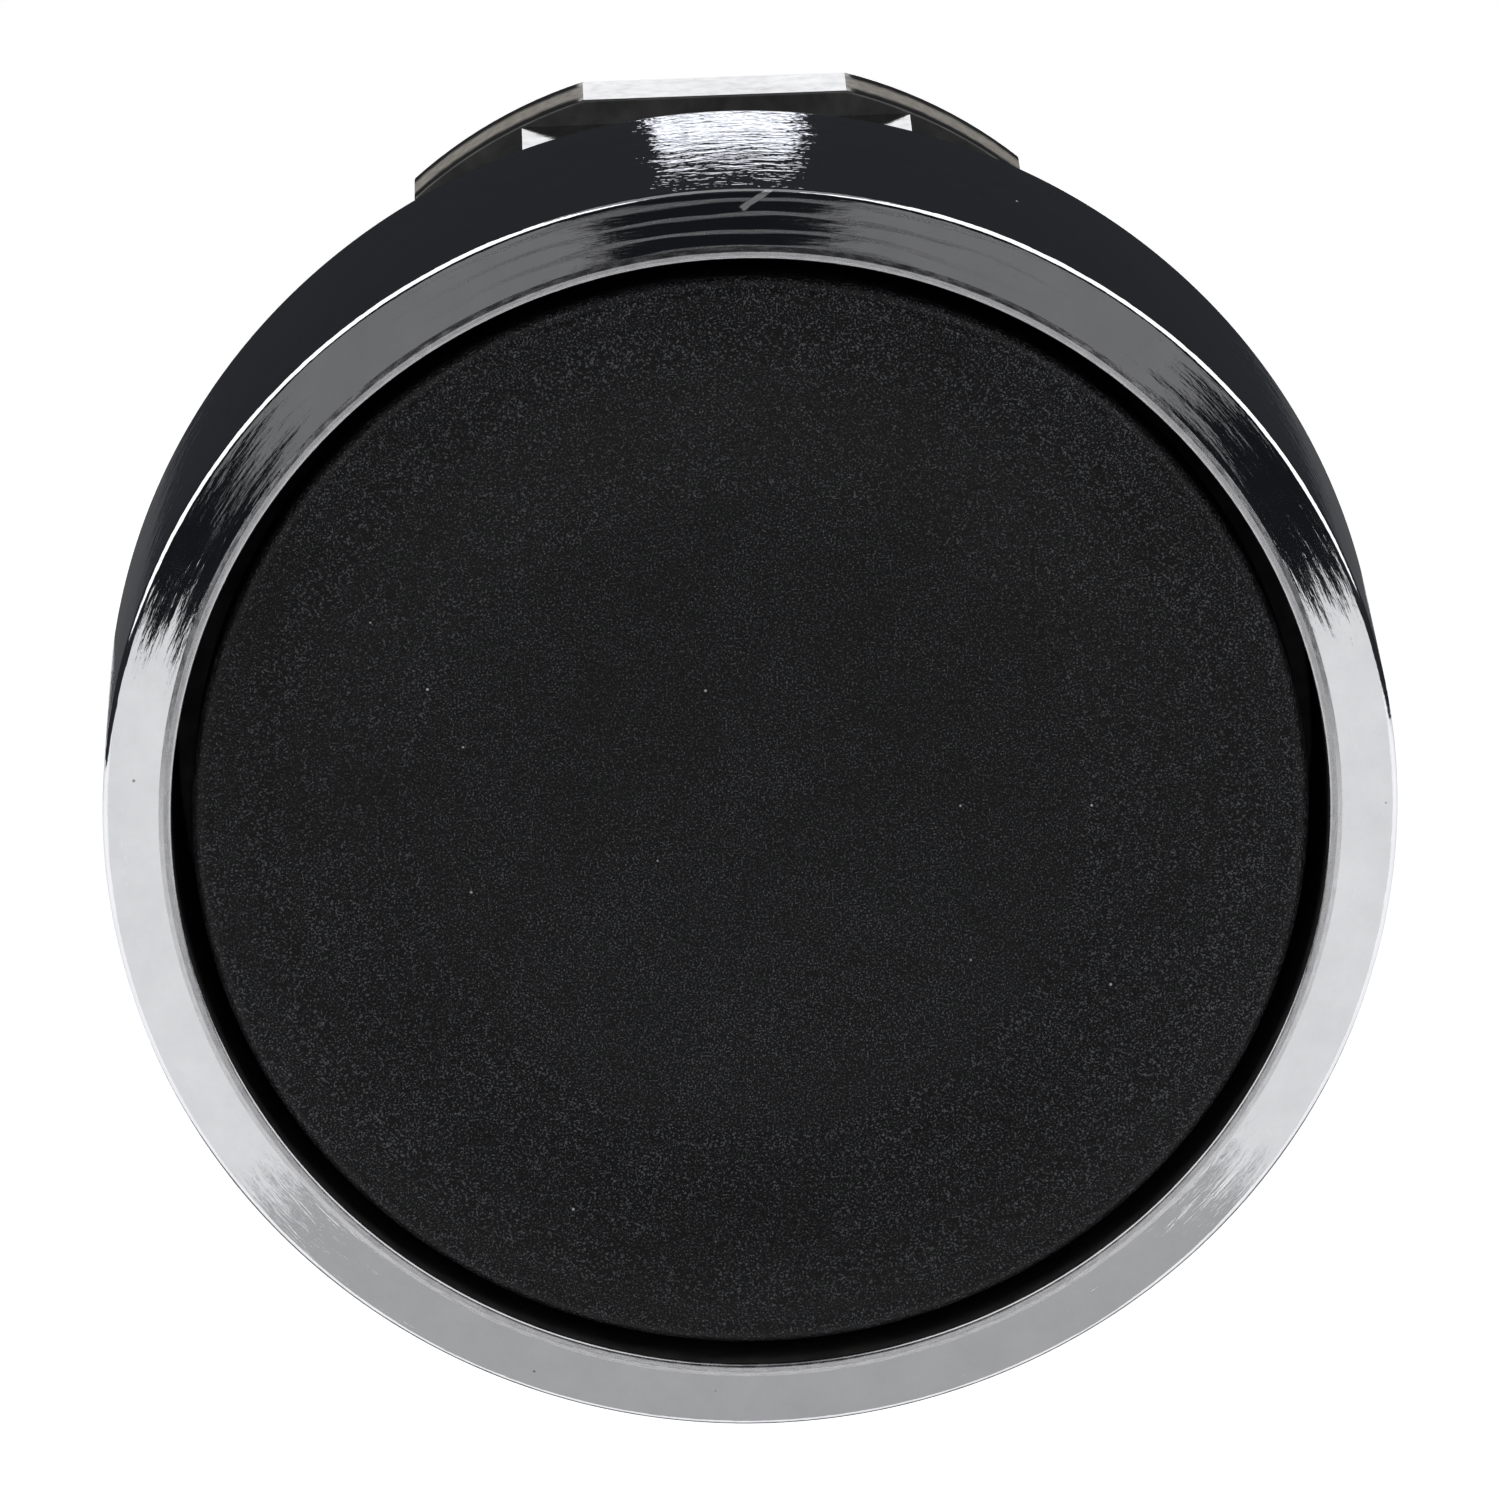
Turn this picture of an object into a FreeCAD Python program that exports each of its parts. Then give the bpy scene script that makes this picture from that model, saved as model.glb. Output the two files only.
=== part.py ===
import FreeCAD, Part
import os
import re
import Sketcher

# Head of a 22 mm flush push button with a metal bezel and spring return.
#
# The button's axis is Y: the operator stands on the -Y side, the panel's inside is +Y, up is +Z.
# The origin is on the axis, in the plane of the panel's front face, which the gasket seals against.
# Every station along the axis is a "_y" cell; every other cell is a radius, width, depth or count.

SIZES = [
    # outside of the bezel casting
    ("bezel_radius", 14.5),
    ("front_edge_y", -7.5),
    ("land_rise", 0.23),
    ("land_inner_radius", 13.24),
    ("crest_y", -7.77),
    ("crest_width", 0.21),
    ("cup_radius", 12.95),
    ("bezel_back_y", -0.5),
    ("bezel_back_chamfer", 0.25),
    ("front_edge_round", 0.18),
    ("crest_round", 0.08),
    # threadless barrel with bayonet lugs for the fixing collar
    ("barrel_radius", 11.0),
    ("barrel_root_radius", 10.6),
    ("barrel_end_y", 6.5),
    ("neck_radius", 9.7),
    ("web_half_width", 4.65),
    ("web_half_height", 9.95),
    ("lug_front_y", 15.7),
    ("lug_rear_y", 17.5),
    ("lug_half_width", 7.2),
    ("lug_half_height", 10.55),
    ("lug_round", 0.15),
    # inside of the casting
    ("cup_floor_y", -1.8),
    ("counterbore_radius", 10.0),
    ("counterbore_floor_y", 1.2),
    ("shoulder_radius", 8.0),
    ("shoulder_rear_y", 1.9),
    ("bore_radius", 8.7),
    ("circlip_groove_radius", 9.2),
    ("circlip_groove_width", 0.9),
    # panel gasket
    ("gasket_groove_y", -0.8),
    ("gasket_outer_radius", 13.85),
    ("gasket_groove_radius", 13.9),
    ("gasket_bore_radius", 11.2),
    ("gasket_lip_step", 0.15),
    # cap
    ("cap_radius", 12.5),
    ("cap_rim_y", -7.78),
    ("cap_rim_inner_radius", 11.9),
    ("cap_dish_radius", 8.6),
    ("cap_dish_depth", 0.28),
    ("cap_underside_y", -6.75),
    ("cap_skirt_y", -6.2),
    ("cap_skirt_inner_radius", 11.5),
    ("cap_rim_round", 0.35),
    ("hook_inner_radius", 9.2),
    ("hook_outer_radius", 9.75),
    ("hook_barb_radius", 8.85),
    ("hook_rear_y", -4.6),
    ("hook_half_width", 2.2),
    ("cap_hooks", 4),
    # carrier under the cap
    ("carrier_radius", 9.15),
    ("carrier_rear_y", -4.9),
    ("shoulder_disc_radius", 7.4),
    ("shoulder_disc_y", -4.5),
    ("hub_radius", 6.2),
    ("hub_rear_y", -3.3),
    ("head_recess_radius", 3.3),
    ("head_recess_y", -5.0),
    ("screw_passage_radius", 1.6),
    # diaphragm and the rings that hold it
    ("outer_bead_inner_radius", 9.3),
    ("outer_bead_outer_radius", 9.95),
    ("outer_bead_front_y", 0.5),
    ("web_thickness", 0.45),
    ("web_inner_radius", 8.6),
    ("inner_bead_front_y", -4.5),
    ("inner_bead_rear_y", -3.9),
    ("inner_bead_radius", 7.35),
    ("cone_front_radius", 7.0),
    ("clamp_inner_radius", 9.0),
    ("clamp_outer_radius", 9.98),
    ("clamp_front_y", -0.1),
    ("press_ring_radius", 6.9),
    ("press_ring_rear_y", -3.4),
    # guide sleeve
    ("sleeve_radius", 8.65),
    ("sleeve_bore_radius", 7.6),
    ("pilot_radius", 7.9),
    ("pilot_front_y", 1.3),
    ("guide_wall_rear_y", 3.1),
    ("guide_radius", 4.0),
    ("sleeve_rear_y", 13.4),
    ("rib_tip_radius", 5.9),
    ("rib_half_width", 0.6),
    ("sleeve_ribs", 4),
    # plunger
    ("stem_radius", 3.95),
    ("stem_tail_radius", 3.0),
    ("collar_radius", 7.54),
    ("collar_front_y", 3.6),
    ("collar_rear_y", 4.8),
    ("collar_slot_radius", 5.8),
    ("collar_slot_half_width", 0.68),
    ("stem_tail_y", 16.4),
    ("tenon_radius", 2.0),
    ("tenon_rear_y", 17.0),
    ("tapped_hole_radius", 1.3),
    ("front_hole_end_y", 2.8),
    ("rear_hole_end_y", 12.3),
    ("bumper_radius", 5.5),
    ("bumper_bore_radius", 4.0),
    # return spring
    ("spring_radius", 4.9),
    ("wire_radius", 0.3),
    ("active_turns", 3),
    ("closed_turns", 1),
    ("closed_pitch", 0.62),
    ("spring_seat_y", 13.0),
    ("seat_outer_radius", 5.7),
    ("seat_inner_radius", 3.4),
    # rear closure
    ("retainer_rear_y", 14.9),
    ("retainer_bore_radius", 3.9),
    ("bush_bore_radius", 3.03),
    ("bush_flange_radius", 4.8),
    ("bush_flange_y", 15.3),
    ("circlip_thickness", 0.8),
    ("circlip_outer_radius", 9.15),
    ("circlip_inner_radius", 7.75),
    ("circlip_gap_half_width", 2.6),
    ("circlip_ear_radius", 1.15),
    ("circlip_ear_hole_radius", 0.5),
    ("circlip_ear_x", 3.6),
    ("circlip_ear_z", 7.15),
    # drive plate behind the barrel
    ("plate_radius", 8.0),
    ("plate_rear_y", 17.7),
    ("drive_face_y", 18.5),
    ("drive_rail_outer_radius", 7.6),
    ("drive_rail_inner_radius", 5.8),
    ("drive_boss_radius", 4.2),
    ("plate_recess_radius", 3.2),
    ("plate_recess_y", 17.1),
    ("tenon_hole_radius", 2.05),
    ("rail_notch_half_width", 1.2),
    ("rail_notches", 4),
    # M3 fasteners
    ("screw_radius", 1.25),
    ("washer_bore_radius", 1.6),
    ("washer_radius", 3.0),
    ("washer_thickness", 0.4),
    ("lock_washer_gap", 0.6),
    ("front_head_radius", 2.7),
    ("front_head_thickness", 1.2),
    ("front_screw_end_y", 2.5),
    ("rear_head_radius", 2.6),
    ("rear_head_thickness", 0.9),
    ("rear_screw_end_y", 12.6),
    ("drive_half_width", 0.35),
    ("drive_half_length", 1.5),
    ("drive_depth", 0.6),
]

doc = FreeCAD.newDocument("PushButtonHead")
sheet = doc.addObject("Spreadsheet::Sheet", "Sizes")
for row, (alias, value) in enumerate(SIZES, start=1):
    sheet.set(f"A{row}", alias)
    sheet.set(f"B{row}", str(value))
    sheet.setAlias(f"B{row}", alias)
doc.recompute()


def bound(expression):
    """The expression with each alias written as a reference to the sheet."""
    return re.sub(r"([a-z]\w+)", r"Sizes.\1", expression)


def size(expression):
    """The expression's value in millimetres."""
    return float(sheet.evalExpression(bound(expression)))


def new_body(label):
    """An empty body whose label is the sub-part's name."""
    body = doc.addObject("PartDesign::Body", label)
    body.Label = label
    return body


def new_sketch(body, name, plane, offset=None):
    """A sketch on one of the body's own planes, moved along the plane's normal by offset."""
    sketch = body.newObject("Sketcher::SketchObject", f"{body.Name}_{name}")
    origin_plane = next(item for item in body.Origin.OriginFeatures if item.Role == plane)
    sketch.AttachmentSupport = [(origin_plane, "")]
    sketch.MapMode = "FlatFace"
    if offset:
        sketch.setExpression("AttachmentOffset.Base.z", bound(offset))
    return sketch


def constrain(sketch, kind, place, expression):
    """One dimension of the sketch, bound to the sheet."""
    index = sketch.addConstraint(Sketcher.Constraint(kind, *place, size(expression)))
    sketch.setExpression(f"Constraints[{index}]", bound(expression))


def draw_polygon(sketch, corners):
    """A closed outline through corners, each a pair of expressions in the sketch's plane."""
    first = sketch.GeometryCount
    points = [FreeCAD.Vector(size(u), size(v), 0) for u, v in corners]
    count = len(points)
    for index, point in enumerate(points):
        sketch.addGeometry(Part.LineSegment(point, points[(index + 1) % count]), False)
    for index, (u, v) in enumerate(corners):
        line = first + index
        following = first + (index + 1) % count
        sketch.addConstraint(Sketcher.Constraint("Coincident", line, 2, following, 1))
        constrain(sketch, "DistanceX", (-1, 1, line, 1), u)
        constrain(sketch, "DistanceY", (-1, 1, line, 1), v)


def draw_rectangle(sketch, left, bottom, right, top):
    """A rectangle with its sides along the sketch's axes."""
    draw_polygon(sketch, [(left, bottom), (right, bottom), (right, top), (left, top)])


def draw_circle(sketch, radius, u="0", v="0"):
    """A circle whose centre is at u, v in the sketch's plane."""
    centre = FreeCAD.Vector(size(u), size(v), 0)
    circle = sketch.addGeometry(Part.Circle(centre, FreeCAD.Vector(0, 0, 1), size(radius)), False)
    constrain(sketch, "DistanceX", (-1, 1, circle, 3), u)
    constrain(sketch, "DistanceY", (-1, 1, circle, 3), v)
    constrain(sketch, "Radius", (circle,), radius)


def turn(body, name, corners, kind="Revolution"):
    """A profile of (radius, y) corners turned about the button's axis, added or cut away."""
    sketch = new_sketch(body, f"{name}_profile", "XY_Plane")
    draw_polygon(sketch, corners)
    turned = body.newObject(f"PartDesign::{kind}", f"{body.Name}_{name}")
    turned.Profile = sketch
    turned.ReferenceAxis = (sketch, ["V_Axis"])
    turned.Angle = 360
    return turned


def ring(body, name, inner, outer, front, rear, kind="Revolution"):
    """A plain ring or disc between two radii and two stations."""
    return turn(body, name, [(inner, front), (outer, front), (outer, rear), (inner, rear)], kind)


def cross_section(body, name, station):
    """A sketch across the axis at a station, with u along X and v along Z."""
    return new_sketch(body, name, "XZ_Plane", f"-({station})")


def pad_rearward(body, name, sketch, length):
    """Material added from the sketch towards the inside of the panel."""
    pad = body.newObject("PartDesign::Pad", f"{body.Name}_{name}")
    pad.Profile = sketch
    pad.Reversed = True
    pad.setExpression("Length", bound(length))
    return pad


def cut(body, name, sketch, length, forward=False):
    """Material removed behind the sketch, or in front of it; the volume has to fall."""
    doc.recompute()
    before = body.Shape.Volume
    pocket = body.newObject("PartDesign::Pocket", f"{body.Name}_{name}")
    pocket.Profile = sketch
    pocket.Reversed = forward
    pocket.setExpression("Length", bound(length))
    doc.recompute()
    assert body.Shape.Volume < before, f"{body.Label}: {name} cuts nothing"
    return pocket


def repeat(body, name, features, count):
    """The features repeated evenly about the button's axis."""
    pattern = body.newObject("PartDesign::PolarPattern", f"{body.Name}_{name}")
    pattern.Originals = features
    axis = next(item for item in body.Origin.OriginFeatures if item.Role == "Y_Axis")
    pattern.Axis = (axis, [""])
    pattern.Angle = 360
    pattern.setExpression("Occurrences", bound(count))
    body.Tip = pattern
    return pattern


def round_edges(body, name, chosen, radius):
    """A fillet on each edge that the test picks."""
    doc.recompute()
    base = body.Tip
    edges = [f"Edge{index}" for index, edge in enumerate(base.Shape.Edges, start=1) if chosen(edge)]
    assert edges, f"{body.Label}: {name} finds no edge"
    fillet = body.newObject("PartDesign::Fillet", f"{body.Name}_{name}")
    fillet.Base = (base, edges)
    fillet.setExpression("Radius", bound(radius))
    return fillet


def hoop(radius, station):
    """A test for the round edge about the axis with this radius at this station."""
    wanted_radius = size(radius)
    wanted_y = size(station)

    def test(edge):
        if not isinstance(edge.Curve, Part.Circle):
            return False
        near = abs(edge.Curve.Center.y - wanted_y) < 1e-4
        return near and abs(edge.Curve.Radius - wanted_radius) < 1e-4

    return test


def straight_edges(height, station):
    """A test for the straight edges across the axis at a height above and below it."""
    wanted_z = size(height)
    wanted_y = size(station)

    def test(edge):
        if not isinstance(edge.Curve, Part.Line):
            return False
        ends = [vertex.Point for vertex in edge.Vertexes]
        return all(abs(abs(end.z) - wanted_z) < 1e-4 and abs(end.y - wanted_y) < 1e-4 for end in ends)

    return test


def bezel_housing():
    """Die-cast bezel, barrel and bayonet lugs in one piece."""
    body = new_body("bezel_housing")
    turn(body, "outside", [
        ("0", "crest_y"),
        ("cup_radius + crest_width", "crest_y"),
        ("land_inner_radius", "front_edge_y - land_rise"),
        ("bezel_radius", "front_edge_y"),
        ("bezel_radius", "bezel_back_y - bezel_back_chamfer"),
        ("bezel_radius - bezel_back_chamfer", "bezel_back_y"),
        ("gasket_groove_radius", "bezel_back_y"),
        ("gasket_groove_radius", "gasket_groove_y"),
        ("barrel_root_radius", "gasket_groove_y"),
        ("barrel_root_radius", "0"),
        ("barrel_radius", "0"),
        ("barrel_radius", "barrel_end_y"),
        ("neck_radius", "barrel_end_y"),
        ("neck_radius", "lug_rear_y"),
        ("0", "lug_rear_y"),
    ])
    web = cross_section(body, "web_outline", "barrel_end_y")
    draw_rectangle(web, "-web_half_width", "-web_half_height", "web_half_width", "web_half_height")
    pad_rearward(body, "webs", web, "lug_front_y - barrel_end_y")
    lug = cross_section(body, "lug_outline", "lug_front_y")
    draw_rectangle(lug, "-lug_half_width", "-lug_half_height", "lug_half_width", "lug_half_height")
    pad_rearward(body, "lugs", lug, "lug_rear_y - lug_front_y")
    ring(body, "lug_turning", "barrel_radius", "bezel_radius", "lug_front_y", "lug_rear_y", "Groove")
    turn(body, "inside", [
        ("0", "crest_y"),
        ("cup_radius", "crest_y"),
        ("cup_radius", "cup_floor_y"),
        ("counterbore_radius", "cup_floor_y"),
        ("counterbore_radius", "counterbore_floor_y"),
        ("shoulder_radius", "counterbore_floor_y"),
        ("shoulder_radius", "shoulder_rear_y"),
        ("bore_radius", "shoulder_rear_y"),
        ("bore_radius", "retainer_rear_y"),
        ("circlip_groove_radius", "retainer_rear_y"),
        ("circlip_groove_radius", "retainer_rear_y + circlip_groove_width"),
        ("bore_radius", "retainer_rear_y + circlip_groove_width"),
        ("bore_radius", "lug_rear_y"),
        ("0", "lug_rear_y"),
    ], "Groove")
    round_edges(body, "front_edge", hoop("bezel_radius", "front_edge_y"), "front_edge_round")
    round_edges(body, "crest_inner_edge", hoop("cup_radius", "crest_y"), "crest_round")
    round_edges(body, "lug_edges", straight_edges("lug_half_height", "lug_front_y"), "lug_round")


def panel_gasket():
    """Nitrile gasket between the bezel's back and the panel, with a stepped sealing lip."""
    body = new_body("panel_gasket")
    turn(body, "section", [
        ("gasket_bore_radius", "gasket_groove_y"),
        ("gasket_outer_radius", "gasket_groove_y"),
        ("gasket_outer_radius", "0"),
        ("gasket_bore_radius + gasket_lip_step", "0"),
        ("gasket_bore_radius", "-gasket_lip_step"),
    ])


def button_cap():
    """Dished plastic cap with a short skirt and four snap hooks behind it."""
    body = new_body("button_cap")
    turn(body, "disc", [
        ("0", "cap_rim_y + cap_dish_depth"),
        ("cap_dish_radius", "cap_rim_y + cap_dish_depth"),
        ("cap_rim_inner_radius", "cap_rim_y"),
        ("cap_radius", "cap_rim_y"),
        ("cap_radius", "cap_skirt_y"),
        ("cap_skirt_inner_radius", "cap_skirt_y"),
        ("cap_skirt_inner_radius", "cap_underside_y"),
        ("0", "cap_underside_y"),
    ])
    round_edges(body, "rim", hoop("cap_radius", "cap_rim_y"), "cap_rim_round")
    hook = new_sketch(body, "hook_profile", "YZ_Plane", "-hook_half_width")
    draw_polygon(hook, [
        ("cap_underside_y", "hook_inner_radius"),
        ("cap_underside_y", "hook_outer_radius"),
        ("hook_rear_y", "hook_outer_radius"),
        ("hook_rear_y", "hook_inner_radius"),
        ("carrier_rear_y", "hook_barb_radius"),
        ("carrier_rear_y", "hook_inner_radius"),
    ])
    pad = body.newObject("PartDesign::Pad", "button_cap_hook")
    pad.Profile = hook
    pad.setExpression("Length", bound("2 * hook_half_width"))
    repeat(body, "hooks", [pad], "cap_hooks")


def cap_carrier():
    """Disc under the cap with the hub that carries the diaphragm's inner bead."""
    body = new_body("cap_carrier")
    turn(body, "disc", [
        ("0", "cap_underside_y"),
        ("carrier_radius", "cap_underside_y"),
        ("carrier_radius", "carrier_rear_y"),
        ("shoulder_disc_radius", "carrier_rear_y"),
        ("shoulder_disc_radius", "shoulder_disc_y"),
        ("hub_radius", "shoulder_disc_y"),
        ("hub_radius", "hub_rear_y"),
        ("0", "hub_rear_y"),
    ])
    recess = cross_section(body, "recess_outline", "cap_underside_y")
    draw_circle(recess, "head_recess_radius")
    cut(body, "head_recess", recess, "head_recess_y - cap_underside_y")
    passage = cross_section(body, "passage_outline", "head_recess_y")
    draw_circle(passage, "screw_passage_radius")
    cut(body, "screw_passage", passage, "hub_rear_y - head_recess_y")


def cross_recess(body, station, depth):
    """Two crossed slots for the screwdriver, cut rearward from a station, or forward."""
    forward = depth.startswith("-")
    for name, half_x, half_z in (
        ("upright", "drive_half_width", "drive_half_length"),
        ("level", "drive_half_length", "drive_half_width"),
    ):
        slot = cross_section(body, f"{name}_outline", station)
        draw_rectangle(slot, f"-{half_x}", f"-{half_z}", half_x, half_z)
        cut(body, f"{name}_slot", slot, depth.lstrip("-"), forward)


def carrier_screw():
    """M3 screw from the front, holding the carrier on the stem."""
    body = new_body("carrier_screw")
    seat = "head_recess_y - washer_thickness"
    turn(body, "screw", [
        ("0", f"{seat} - front_head_thickness"),
        ("front_head_radius", f"{seat} - front_head_thickness"),
        ("front_head_radius", seat),
        ("screw_radius", seat),
        ("screw_radius", "front_screw_end_y"),
        ("0", "front_screw_end_y"),
    ])
    cross_recess(body, f"{seat} - front_head_thickness", "drive_depth")


def carrier_screw_washer():
    """Flat washer under the carrier screw's head."""
    body = new_body("carrier_screw_washer")
    front = "head_recess_y - washer_thickness"
    ring(body, "section", "washer_bore_radius", "washer_radius", front, "head_recess_y")


def diaphragm():
    """Rubber seal from the counterbore to the hub, a cone between two beads."""
    body = new_body("diaphragm")
    turn(body, "section", [
        ("outer_bead_inner_radius", "outer_bead_front_y"),
        ("outer_bead_outer_radius", "outer_bead_front_y"),
        ("outer_bead_outer_radius", "counterbore_floor_y"),
        ("web_inner_radius - web_thickness", "counterbore_floor_y"),
        ("cone_front_radius", "inner_bead_rear_y"),
        ("hub_radius", "inner_bead_rear_y"),
        ("hub_radius", "inner_bead_front_y"),
        ("inner_bead_radius", "inner_bead_front_y"),
        ("inner_bead_radius", "inner_bead_rear_y"),
        ("web_inner_radius", "counterbore_floor_y - web_thickness"),
        ("outer_bead_inner_radius", "counterbore_floor_y - web_thickness"),
    ])


def diaphragm_clamp_ring():
    """Brass ring pressed into the counterbore over the diaphragm's outer bead."""
    body = new_body("diaphragm_clamp_ring")
    ring(body, "section", "clamp_inner_radius", "clamp_outer_radius", "clamp_front_y", "outer_bead_front_y")


def diaphragm_press_ring():
    """Ring pressed on the hub behind the diaphragm's inner bead."""
    body = new_body("diaphragm_press_ring")
    ring(body, "section", "hub_radius", "press_ring_radius", "inner_bead_rear_y", "press_ring_rear_y")


def guide_sleeve():
    """Plastic sleeve in the bore that guides the stem, with four anti-rotation ribs."""
    body = new_body("guide_sleeve")
    turn(body, "section", [
        ("guide_radius", "pilot_front_y"),
        ("pilot_radius", "pilot_front_y"),
        ("pilot_radius", "shoulder_rear_y"),
        ("sleeve_radius", "shoulder_rear_y"),
        ("sleeve_radius", "sleeve_rear_y"),
        ("sleeve_bore_radius", "sleeve_rear_y"),
        ("sleeve_bore_radius", "guide_wall_rear_y"),
        ("guide_radius", "guide_wall_rear_y"),
    ])
    rib = cross_section(body, "rib_outline", "guide_wall_rear_y")
    middle = "(sleeve_bore_radius + sleeve_radius) / 2"
    draw_rectangle(rib, "-rib_half_width", "rib_tip_radius", "rib_half_width", middle)
    pad = pad_rearward(body, "rib", rib, "sleeve_rear_y - guide_wall_rear_y")
    repeat(body, "ribs", [pad], "sleeve_ribs")


def plunger_stem():
    """Stem with a guided collar, slotted for the sleeve's ribs, and a tenon behind."""
    body = new_body("plunger_stem")
    turn(body, "outside", [
        ("0", "hub_rear_y"),
        ("stem_radius", "hub_rear_y"),
        ("stem_radius", "collar_front_y"),
        ("collar_radius", "collar_front_y"),
        ("collar_radius", "collar_rear_y"),
        ("stem_tail_radius", "collar_rear_y"),
        ("stem_tail_radius", "stem_tail_y"),
        ("tenon_radius", "stem_tail_y"),
        ("tenon_radius", "tenon_rear_y"),
        ("0", "tenon_rear_y"),
    ])
    slot = cross_section(body, "slot_outline", "collar_front_y")
    beyond = "sleeve_radius"
    draw_rectangle(slot, "-collar_slot_half_width", "collar_slot_radius", "collar_slot_half_width", beyond)
    pocket = cut(body, "slot", slot, "collar_rear_y - collar_front_y")
    repeat(body, "slots", [pocket], "sleeve_ribs")
    front_hole = cross_section(body, "front_hole_outline", "hub_rear_y")
    draw_circle(front_hole, "tapped_hole_radius")
    cut(body, "front_hole", front_hole, "front_hole_end_y - hub_rear_y")
    rear_hole = cross_section(body, "rear_hole_outline", "rear_hole_end_y")
    draw_circle(rear_hole, "tapped_hole_radius")
    cut(body, "rear_hole", rear_hole, "tenon_rear_y - rear_hole_end_y")


def stop_bumper():
    """Rubber ring that quiets the return stop against the guide wall."""
    body = new_body("stop_bumper")
    ring(body, "section", "bumper_bore_radius", "bumper_radius", "guide_wall_rear_y", "collar_front_y")


def coil(body, name, front, rear, turns):
    """A whole number of turns of wire whose centre line runs between two stations."""
    sketch = new_sketch(body, f"{name}_wire", "XY_Plane")
    draw_circle(sketch, "wire_radius", "spring_radius", front)
    helix = body.newObject("PartDesign::AdditiveHelix", f"{body.Name}_{name}")
    helix.Profile = sketch
    helix.ReferenceAxis = (sketch, ["V_Axis"])
    helix.Mode = "height-turns-angle"
    helix.setExpression("Height", bound(f"{rear} - ({front})"))
    helix.setExpression("Turns", bound(turns))


def return_spring():
    """Compression spring between the collar and its seat, with closed ends."""
    body = new_body("return_spring")
    front = "collar_rear_y + wire_radius"
    rear = "spring_seat_y - wire_radius"
    coil(body, "front_end", front, f"{front} + closed_pitch", "closed_turns")
    coil(body, "active_coils", f"{front} + closed_pitch", f"{rear} - closed_pitch", "active_turns")
    coil(body, "rear_end", f"{rear} - closed_pitch", rear, "closed_turns")


def spring_seat_washer():
    """Steel washer between the spring and the rear retainer."""
    body = new_body("spring_seat_washer")
    ring(body, "section", "seat_inner_radius", "seat_outer_radius", "spring_seat_y", "sleeve_rear_y")


def rear_retainer():
    """Steel disc that closes the bore behind the sleeve."""
    body = new_body("rear_retainer")
    ring(body, "section", "retainer_bore_radius", "sleeve_radius", "sleeve_rear_y", "retainer_rear_y")


def tail_bush():
    """Flanged plain bush in the retainer, guiding the stem's tail."""
    body = new_body("tail_bush")
    turn(body, "section", [
        ("bush_bore_radius", "sleeve_rear_y"),
        ("retainer_bore_radius", "sleeve_rear_y"),
        ("retainer_bore_radius", "retainer_rear_y"),
        ("bush_flange_radius", "retainer_rear_y"),
        ("bush_flange_radius", "bush_flange_y"),
        ("bush_bore_radius", "bush_flange_y"),
    ])


def retaining_ring():
    """Internal circlip with its opening at the bottom and a plier hole in each ear."""
    body = new_body("retaining_ring")
    rear = "retainer_rear_y + circlip_thickness"
    ring(body, "section", "circlip_inner_radius", "circlip_outer_radius", "retainer_rear_y", rear)
    gap = cross_section(body, "gap_outline", "retainer_rear_y")
    below = "-(circlip_outer_radius + circlip_thickness)"
    draw_rectangle(gap, "-circlip_gap_half_width", below, "circlip_gap_half_width", "0")
    cut(body, "gap", gap, "circlip_thickness")
    for side, place in (("left", "-circlip_ear_x"), ("right", "circlip_ear_x")):
        ear = cross_section(body, f"{side}_ear_outline", "retainer_rear_y")
        draw_circle(ear, "circlip_ear_radius", place, "-circlip_ear_z")
        pad_rearward(body, f"{side}_ear", ear, "circlip_thickness")
        hole = cross_section(body, f"{side}_hole_outline", "retainer_rear_y")
        draw_circle(hole, "circlip_ear_hole_radius", place, "-circlip_ear_z")
        cut(body, f"{side}_hole", hole, "circlip_thickness")


def drive_plate():
    """Plate on the stem's tenon whose raised rail works the contact blocks."""
    body = new_body("drive_plate")
    turn(body, "section", [
        ("tenon_hole_radius", "stem_tail_y"),
        ("plate_radius", "stem_tail_y"),
        ("plate_radius", "plate_rear_y"),
        ("drive_rail_outer_radius", "plate_rear_y"),
        ("drive_rail_outer_radius", "drive_face_y"),
        ("drive_rail_inner_radius", "drive_face_y"),
        ("drive_rail_inner_radius", "plate_rear_y"),
        ("drive_boss_radius", "plate_rear_y"),
        ("drive_boss_radius", "drive_face_y"),
        ("plate_recess_radius", "drive_face_y"),
        ("plate_recess_radius", "plate_recess_y"),
        ("tenon_hole_radius", "plate_recess_y"),
    ])
    notch = cross_section(body, "notch_outline", "plate_rear_y")
    between = "(drive_boss_radius + drive_rail_inner_radius) / 2"
    draw_rectangle(notch, "-rail_notch_half_width", between, "rail_notch_half_width", "plate_radius")
    pocket = cut(body, "notch", notch, "drive_face_y - plate_rear_y")
    repeat(body, "notches", [pocket], "rail_notches")


def drive_plate_lock_washer():
    """Split lock washer under the rear screw's head."""
    body = new_body("drive_plate_lock_washer")
    rear = "plate_recess_y + washer_thickness"
    ring(body, "section", "washer_bore_radius", "washer_radius", "plate_recess_y", rear)
    gap = cross_section(body, "gap_outline", "plate_recess_y")
    draw_rectangle(gap, "-lock_washer_gap / 2", "0", "lock_washer_gap / 2", "plate_recess_radius")
    cut(body, "gap", gap, "washer_thickness")


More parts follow.
